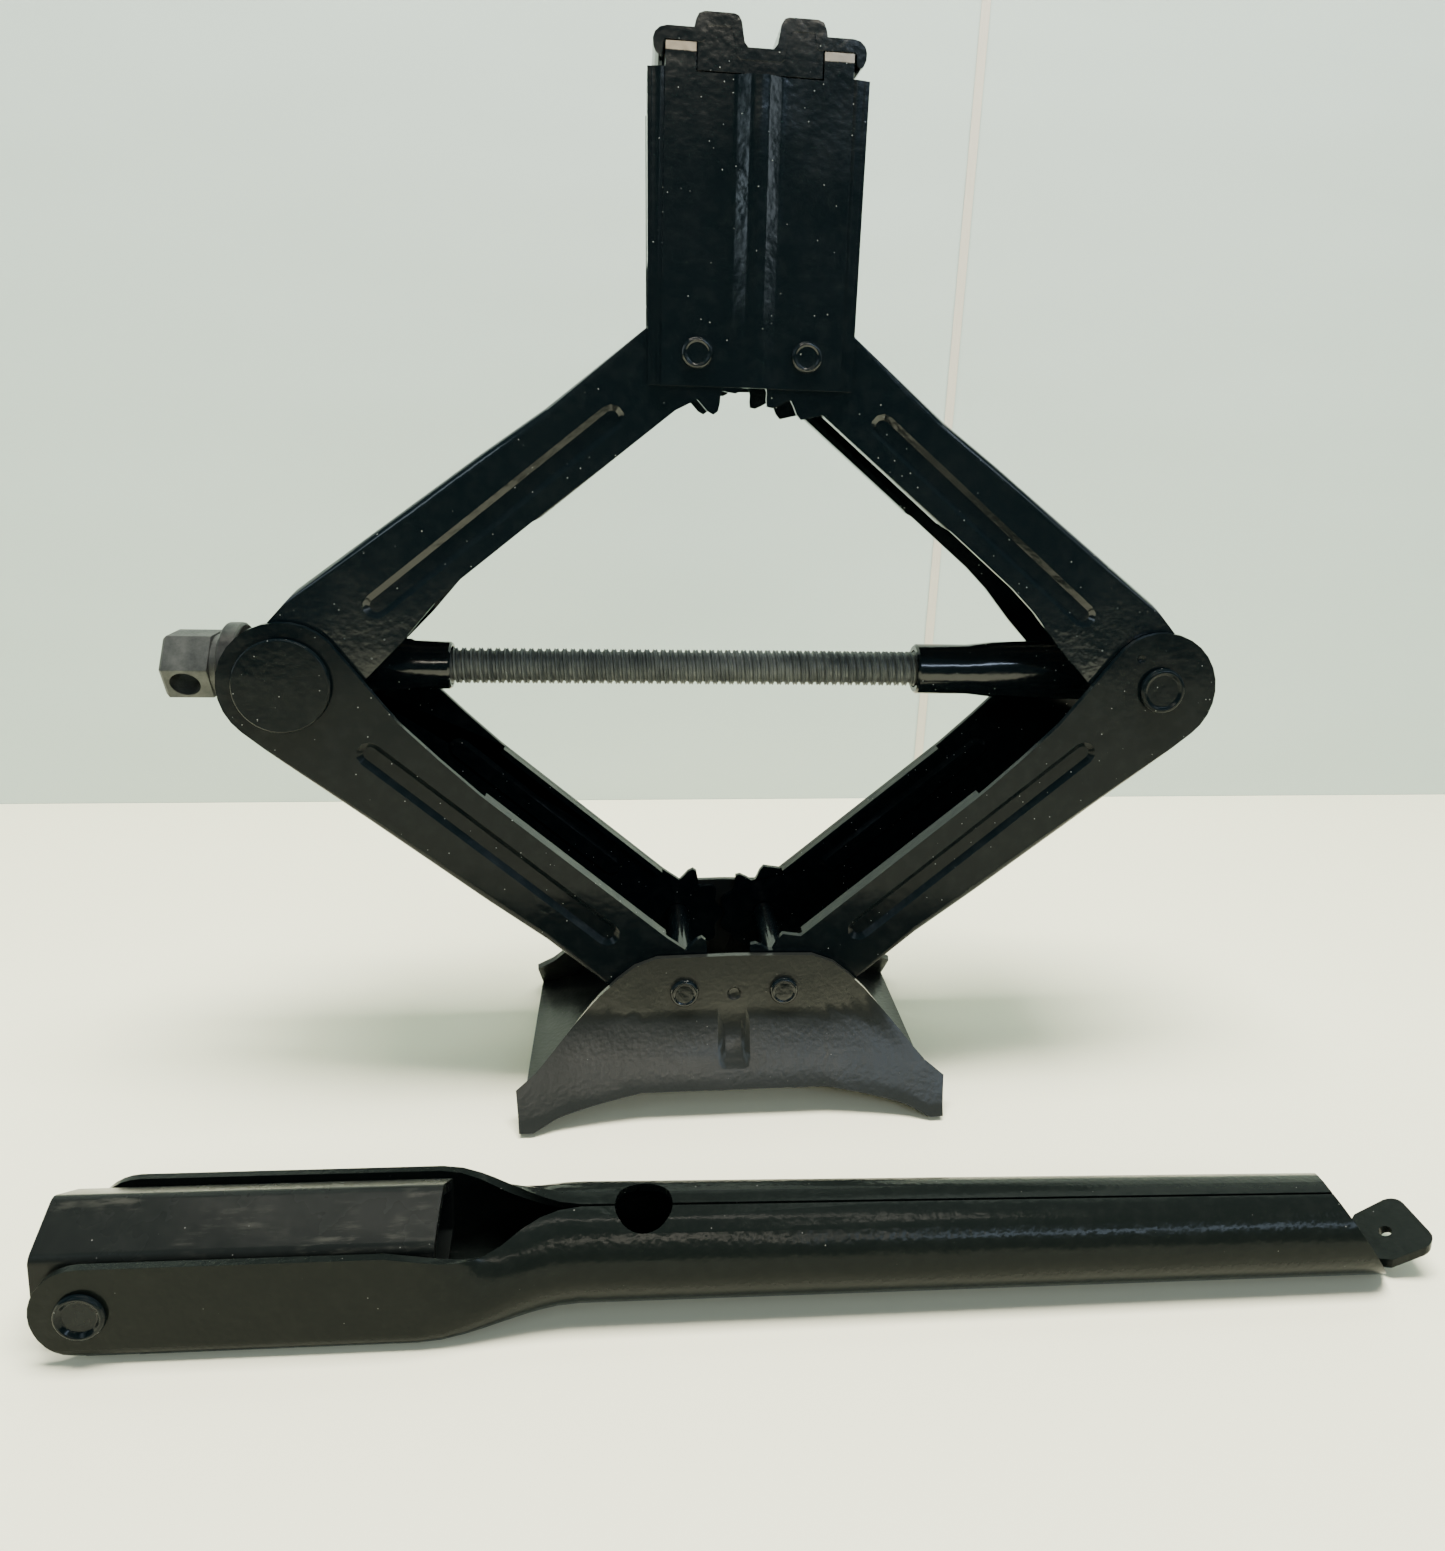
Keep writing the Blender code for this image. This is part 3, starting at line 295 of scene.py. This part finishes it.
def makeWornPaint(name, settings):
    # long faint drag marks along the tube, thicker in patches
    material = makePaint(name, settings)
    tree = material.node_tree
    shader = tree.nodes["Principled BSDF"]
    place = addNode(tree, "ShaderNodeTexCoord").outputs["Object"]
    stretch = addNode(tree, "ShaderNodeMapping")
    stretch.inputs["Scale"].default_value = settings["scuffStretch"]
    tree.links.new(place, stretch.inputs["Vector"])
    drags = noise(tree, stretch.outputs["Vector"], settings["scuffScale"] * 9, 4, 0.7)
    blotches = noise(tree, place, settings["scuffScale"], 3, 0.6)
    patches = ramp(tree, blotches, (0.48, 0.66), (0.0, 1.0))
    marks = mixed(tree, 1.0, ramp(tree, drags, (0.50, 0.64), (0.0, 1.0)), patches, "MULTIPLY")
    paint = shader.inputs["Base Color"].links[0].from_socket
    tree.links.new(mixed(tree, marks, paint, settings["scuffs"]), shader.inputs["Base Color"])
    return material


def makeSteel(name, settings):
    rough = settings["roughness"]
    material, tree, shader, place = newMaterial(
        name, settings["colour"], rough, settings["metallic"]
    )
    cloud = noise(tree, place, 120, 4, 0.65)
    grain = noise(tree, place, 1500, 2)
    patches = ramp(tree, cloud, (0.38, 0.68), (0.0, 0.85))
    colour = mixed(tree, patches, settings["colour"], settings["light"])
    tree.links.new(colour, shader.inputs["Base Color"])
    shine = ramp(tree, grain, (0.2, 0.8), (rough - 0.08, rough + 0.12))
    tree.links.new(shine, shader.inputs["Roughness"])
    bumped(tree, shader, ((cloud, 0.12, 0.0006), (grain, 0.35, 0.00012)))
    return material


paints = {
    "gloss": makePaint("glossBlackPaint", blackPaintSettings),
    "arm": makePaint("armPaint", armPaintSettings),
    "base": makePaint("basePaint", basePaintSettings),
    "satin": makePaint("satinBlackPaint", satinPaintSettings),
    "worn": makeWornPaint("scuffedSocketPaint", wornPaintSettings),
    "screw": makeSteel("phosphatedScrew", steelSettings["screw"]),
    "drive": makeSteel("bareDriveHead", steelSettings["drive"]),
    "bearing": makeSteel("oiledBearingSteel", steelSettings["bearing"]),
}
paints["tower"] = bareTopEdge(makePaint("towerPaint", blackPaintSettings), wornEdgeSettings)
print("materials made")


# the rounding in mm, the angle in degrees past which an edge is rounded, and the finish
pieceSettings = {
    "base_plate": (0.5, 50, "base"),
    "base_pin_left": (0.25, 30, "gloss"),
    "base_pin_right": (0.25, 30, "gloss"),
    "lower_arm_left": (0.45, 50, "arm"),
    "lower_arm_right": (0.45, 50, "arm"),
    "upper_arm_left": (0.45, 50, "gloss"),
    "upper_arm_right": (0.45, 50, "gloss"),
    "tower_front_channel": (0.3, 50, "tower"),
    "tower_rear_channel": (0.3, 50, "tower"),
    "saddle_cap": (0.7, 25, "gloss"),
    "tower_pin_left": (0.25, 30, "gloss"),
    "tower_pin_right": (0.25, 30, "gloss"),
    "thrust_trunnion": (0.4, 50, "bearing"),
    "nut_trunnion": (0.4, 50, "gloss"),
    "thrust_trunnion_disc_front": (0.4, 40, "arm"),
    "thrust_trunnion_disc_rear": (0.4, 40, "arm"),
    "nut_trunnion_rivet_front": (0.3, 30, "arm"),
    "nut_trunnion_rivet_rear": (0.3, 30, "arm"),
    "thrust_race": (0.3, 40, "bearing"),
    "thrust_ball_cage": (0.2, 40, "bearing"),
    "thrust_collar": (0.3, 40, "bearing"),
    "screw_guide_sleeve": (0.3, 50, "gloss"),
    "nut_sleeve": (0.3, 50, "gloss"),
    "hex_drive_head": (0.4, 25, "drive"),
    "handle_shank": (0.35, 55, "satin"),
    "socket_tube": (0.4, 50, "worn"),
    "handle_rivet": (0.3, 30, "arm"),
}

sleeveLow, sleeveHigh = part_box("nut_sleeve")
sleeveMiddle = (sleeveLow.y + sleeveHigh.y) / 2
rivetLow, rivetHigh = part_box("nut_trunnion_rivet_front")
rivetMiddle = (rivetLow.x + rivetHigh.x) / 2


def roundSleeve(along, turn, reach):
    # a point beside the sleeve, turned from the side that faces the handle towards the top
    angle = math.radians(turn)
    towards, up = reach * mm * math.cos(angle), reach * mm * math.sin(angle)
    return (sleeveLow.x + along * mm, sleeveMiddle - towards, screwZ + up)


# each dent's place in metres, its half sizes in mm, and its lean about the screw's line
dents = {
    "nut_sleeve": tuple(
        (roundSleeve(along, turn, 11.6), (length, 2.4, 3.0), math.radians(-turn))
        for along, turn, length in ((47, 38, 22), (49, -34, 24), (45, 142, 22), (47, -142, 23))
    ),
    "lower_arm_right": (
        ((rivetMiddle - 0.0085, jackY - 0.0340, screwZ + 0.0115), (1.9, 1.6, 1.9), 0.0),
    ),
}


def deselectAll():
    bpy.ops.object.select_all(action="DESELECT")


def activate(obj):
    deselectAll()
    obj.select_set(True)
    bpy.context.view_layer.objects.active = obj


def carve(piece, cutter):
    # takes the cutter's shape out of the piece
    deselectAll()
    cut = piece.modifiers.new("dent", "BOOLEAN")
    cut.operation = "DIFFERENCE"
    cut.solver = "EXACT"
    cut.object = cutter
    activate(piece)
    bpy.ops.object.modifier_apply(modifier=cut.name)
    bpy.data.objects.remove(cutter, do_unlink=True)
    deselectAll()


def dentShape(place, halfSizes, lean=0.0):
    # a smooth pebble at the size of one dent
    deselectAll()
    bpy.ops.mesh.primitive_uv_sphere_add(segments=32, ring_count=20, radius=mm, location=place)
    pebble = bpy.context.object
    pebble.scale = halfSizes
    pebble.rotation_euler = (lean, 0, 0)
    bpy.ops.object.transform_apply(location=True, rotation=True, scale=True)
    return pebble


# the weld in metres, the angles in degrees
refineSettings = {"weld": 2e-6, "flat": 0.4, "segments": 3, "smooth": 30, "flatWeight": 60}


def refine(nodeName, bevel, angle, finish):
    source = nodes[nodeName]
    piece = bpy.data.objects.new(nodeName + "_fine", source.data.copy())
    bpy.context.scene.collection.objects.link(piece)
    activate(piece)
    if piece.data.has_custom_normals:
        bpy.ops.mesh.customdata_custom_splitnormals_clear()
    bpy.ops.object.mode_set(mode="EDIT")
    bpy.ops.mesh.select_all(action="SELECT")
    bpy.ops.mesh.remove_doubles(threshold=refineSettings["weld"])
    bpy.ops.mesh.dissolve_limited(angle_limit=math.radians(refineSettings["flat"]))
    bpy.ops.object.mode_set(mode="OBJECT")
    for place, halfSizes, lean in dents.get(nodeName, ()):
        carve(piece, dentShape(place, halfSizes, lean))
    activate(piece)
    rounding = piece.modifiers.new("edges", "BEVEL")
    rounding.width = bevel * mm
    rounding.segments = refineSettings["segments"]
    rounding.limit_method = "ANGLE"
    rounding.angle_limit = math.radians(angle)
    rounding.miter_outer = "MITER_ARC"
    rounding.use_clamp_overlap = True
    bpy.ops.object.modifier_apply(modifier=rounding.name)
    bpy.ops.object.shade_smooth_by_angle(angle=math.radians(refineSettings["smooth"]))
    flats = piece.modifiers.new("flats", "WEIGHTED_NORMAL")
    flats.keep_sharp = True
    flats.weight = refineSettings["flatWeight"]
    bpy.ops.object.modifier_apply(modifier=flats.name)
    piece.data.materials.clear()
    piece.data.materials.append(paints[finish])
    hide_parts(nodeName)
    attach(piece, bodyOfNode[nodeName])
    deselectAll()


def ownPlace(piece, material, *replaced):
    # a finished piece sits at the origin, riding on the body of the node it stands for
    activate(piece)
    bpy.ops.object.transform_apply(location=True, rotation=True, scale=True)
    bpy.ops.object.shade_smooth_by_angle(angle=math.radians(35))
    piece.data.materials.clear()
    piece.data.materials.append(material)
    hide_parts(*replaced)
    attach(piece, bodyOfNode[replaced[0]])
    deselectAll()


threadSettings = {
    "pitch": 3.0, "start": 74.0, "root": 5.45, "crest": 6.6, "sunk": 0.25,  # mm
    "foot": 0.41, "land": 0.20,  # half widths as shares of the pitch
    "turns": 89, "steps": 30, "sides": 40,
    "endGap": 0.0008, "chamfer": 0.0009, "endRise": 0.0004,  # metres
}


def buildLeadScrew(settings):
    low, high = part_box("screw_rod")
    middle = (low.y + high.y) / 2
    deselectAll()
    bpy.ops.mesh.primitive_cylinder_add(
        vertices=settings["sides"],
        radius=settings["root"] * mm,
        depth=high.x - low.x - settings["endGap"],
        location=((low.x + high.x) / 2, middle, screwZ),
        rotation=(0, math.pi / 2, 0),
    )
    core = bpy.context.object
    core.name = "leadScrew"
    bpy.ops.object.mode_set(mode="EDIT")
    bpy.ops.mesh.select_all(action="DESELECT")
    bpy.ops.mesh.select_mode(type="FACE")
    bpy.ops.object.mode_set(mode="OBJECT")
    for face in core.data.polygons:
        face.select = len(face.vertices) > 4  # the two end discs
    bpy.ops.object.mode_set(mode="EDIT")
    bpy.ops.mesh.inset(thickness=settings["chamfer"], depth=settings["endRise"])
    bpy.ops.object.mode_set(mode="OBJECT")
    bpy.ops.object.transform_apply(location=True, rotation=True, scale=True)
    # one turn's section: a narrow crest with sloping flanks, rooted inside the core
    deselectAll()
    bpy.ops.mesh.primitive_plane_add(size=1, location=(0, 0, 0))
    ridge = bpy.context.object
    ridge.name = "threadRidge"
    pitch, crest = settings["pitch"] * mm, settings["crest"] * mm
    root = (settings["root"] - settings["sunk"]) * mm
    foot, land = settings["foot"], settings["land"]
    section = ((-foot, root), (-land, crest), (land, crest), (foot, root))
    for vertex, (along, radius) in zip(ridge.data.vertices, section):
        vertex.co = (along * pitch, 0, radius)
    bpy.ops.object.mode_set(mode="EDIT")
    bpy.ops.mesh.select_all(action="SELECT")
    bpy.ops.mesh.delete(type="ONLY_FACE")
    bpy.ops.object.mode_set(mode="OBJECT")
    helix = ridge.modifiers.new("helix", "SCREW")
    helix.axis = "X"
    helix.angle = math.radians(360)
    helix.screw_offset = pitch
    helix.iterations = settings["turns"]
    helix.steps = settings["steps"]
    helix.render_steps = settings["steps"]
    helix.use_merge_vertices = False
    bpy.ops.object.modifier_apply(modifier=helix.name)
    bpy.ops.object.mode_set(mode="EDIT")
    bpy.ops.mesh.select_all(action="DESELECT")
    bpy.ops.mesh.select_mode(type="EDGE")
    bpy.ops.mesh.select_non_manifold()
    bpy.ops.mesh.edge_face_add()
    bpy.ops.mesh.select_all(action="SELECT")
    bpy.ops.mesh.normals_make_consistent(inside=False)
    bpy.ops.object.mode_set(mode="OBJECT")
    ridge.location = (low.x + settings["start"] * mm, middle, screwZ)
    bpy.ops.object.transform_apply(location=True, rotation=True, scale=True)
    activate(core)
    ridge.select_set(True)
    bpy.ops.object.join()
    ownPlace(core, paints["screw"], "screw_rod")


buildLeadScrew(threadSettings)
print("lead screw cut")

for nodeName, (bevel, angle, finish) in pieceSettings.items():
    refine(nodeName, bevel, angle, finish)
print("pieces refined")


# metres from the middle of the base, and colours
stageSettings = {
    "width": 3.2, "wallDistance": 0.300, "wallHeight": 1.2,
    "floorFront": -0.80, "floorDrop": 0.0002,
    "floor": (0.93, 0.91, 0.68), "wall": (0.56, 0.66, 0.60),
    "seamX": 0.161, "seamLean": 0.030, "seamMiddle": 0.35,
    "seamWidth": 0.0055, "seamHeight": 0.7, "seamProud": 0.0006,
    "seamColour": (0.68, 0.63, 0.52),
}


def makeStageMaterial(name, colour, scale):
    material, tree, shader, place = newMaterial(name, colour, 0.62)
    cloud = noise(tree, place, scale, 5, 0.6)
    shade = tuple(value * 0.93 for value in colour)
    tree.links.new(mixed(tree, cloud, shade, colour), shader.inputs["Base Color"])
    bumped(tree, shader, ((noise(tree, place, 9, 2), 0.15, 0.02),))
    return material


def addStage(settings):
    deselectAll()
    depth = settings["wallDistance"] - settings["floorFront"]
    floorY = jackY + settings["wallDistance"] - depth / 2
    bpy.ops.mesh.primitive_plane_add(size=1, location=(jackX, floorY, -settings["floorDrop"]))
    floor = bpy.context.object
    floor.name = "floor"
    floor.scale = (settings["width"], depth, 1)
    floor.data.materials.append(makeStageMaterial("paperFloor", settings["floor"], 3))
    deselectAll()
    wallY = jackY + settings["wallDistance"]
    bpy.ops.mesh.primitive_plane_add(size=1, location=(jackX, wallY, settings["wallHeight"] / 2))
    wall = bpy.context.object
    wall.name = "wall"
    wall.rotation_euler = (math.pi / 2, 0, 0)
    wall.scale = (settings["width"], settings["wallHeight"], 1)
    wall.data.materials.append(makeStageMaterial("paperWall", settings["wall"], 2))
    deselectAll()
    seamPlace = (jackX + settings["seamX"], wallY - settings["seamProud"], settings["seamMiddle"])
    bpy.ops.mesh.primitive_plane_add(size=1, location=seamPlace)
    seam = bpy.context.object
    seam.name = "paperSeam"
    seam.rotation_euler = (math.pi / 2, settings["seamLean"], 0)
    seam.scale = (settings["seamWidth"], settings["seamHeight"], 1)
    seam.data.materials.append(makeStageMaterial("paperSeam", settings["seamColour"], 20))
    deselectAll()


lightSettings = {
    "world": (0.26, 0.50, 0.58), "worldStrength": 0.20,
    # name, place and aim in metres from the middle of the base, width and height in metres,
    # power in watts, colour, and whether it shows in the paint
    "lights": (
        (
            "ceilingPanel", (0.0, -0.16, 1.55), (0.0, 0.02, 0.0),
            1.1, 0.5, 72.0, (1.0, 0.985, 0.93), False,
        ),
        (
            "ceilingTube", (-0.1, -0.36, 1.55), (0.0, 0.0, 0.0),
            1.3, 0.04, 6.0, (1.0, 0.93, 0.80), True,
        ),
        (
            "leftWindow", (-1.06, -1.06, 0.86), (0.0, 0.0, 0.25),
            0.30, 0.8, 2.6, (0.72, 0.88, 1.0), True,
        ),
        (
            "rightWindow", (1.22, -0.86, 0.86), (0.0, 0.0, 0.25),
            0.30, 0.8, 2.3, (0.78, 0.90, 1.0), True,
        ),
        (
            "backWindow", (1.0, -2.0, 1.20), (0.1, 0.0, 0.0),
            1.1, 0.15, 11.0, (0.62, 0.78, 1.0), True,
        ),
        (
            "backLamp", (0.0, -2.0, 1.17), (0.0, 0.0, 0.0),
            0.8, 0.09, 6.0, (1.0, 0.92, 0.76), True,
        ),
        (
            "leftDoor", (-1.40, 0.10, 0.60), (0.0, 0.0, 0.2),
            0.25, 0.9, 1.2, (0.85, 0.95, 1.0), True,
        ),
        (
            "rightDoor", (1.40, 0.10, 0.60), (0.0, 0.0, 0.2),
            0.25, 0.9, 1.2, (0.85, 0.95, 1.0), True,
        ),
    ),
}


def addLights(settings):
    world = bpy.data.worlds.new("room")
    world.use_nodes = True
    background = world.node_tree.nodes["Background"]
    background.inputs["Color"].default_value = (*settings["world"], 1)
    background.inputs["Strength"].default_value = settings["worldStrength"]
    bpy.context.scene.world = world
    for name, place, target, width, height, power, colour, shows in settings["lights"]:
        data = bpy.data.lights.new(name, "AREA")
        data.shape = "RECTANGLE"
        data.size = width
        data.size_y = height
        data.energy = power
        data.color = colour
        light = bpy.data.objects.new(name, data)
        light.visible_glossy = shows
        bpy.context.scene.collection.objects.link(light)
        start = Vector(place) + Vector((jackX, jackY, 0))
        aim = Vector(target) + Vector((jackX, jackY, 0))
        light.location = start
        light.rotation_euler = (aim - start).to_track_quat("-Z", "Y").to_euler()


addStage(stageSettings)
addLights(lightSettings)
print("stage lit")
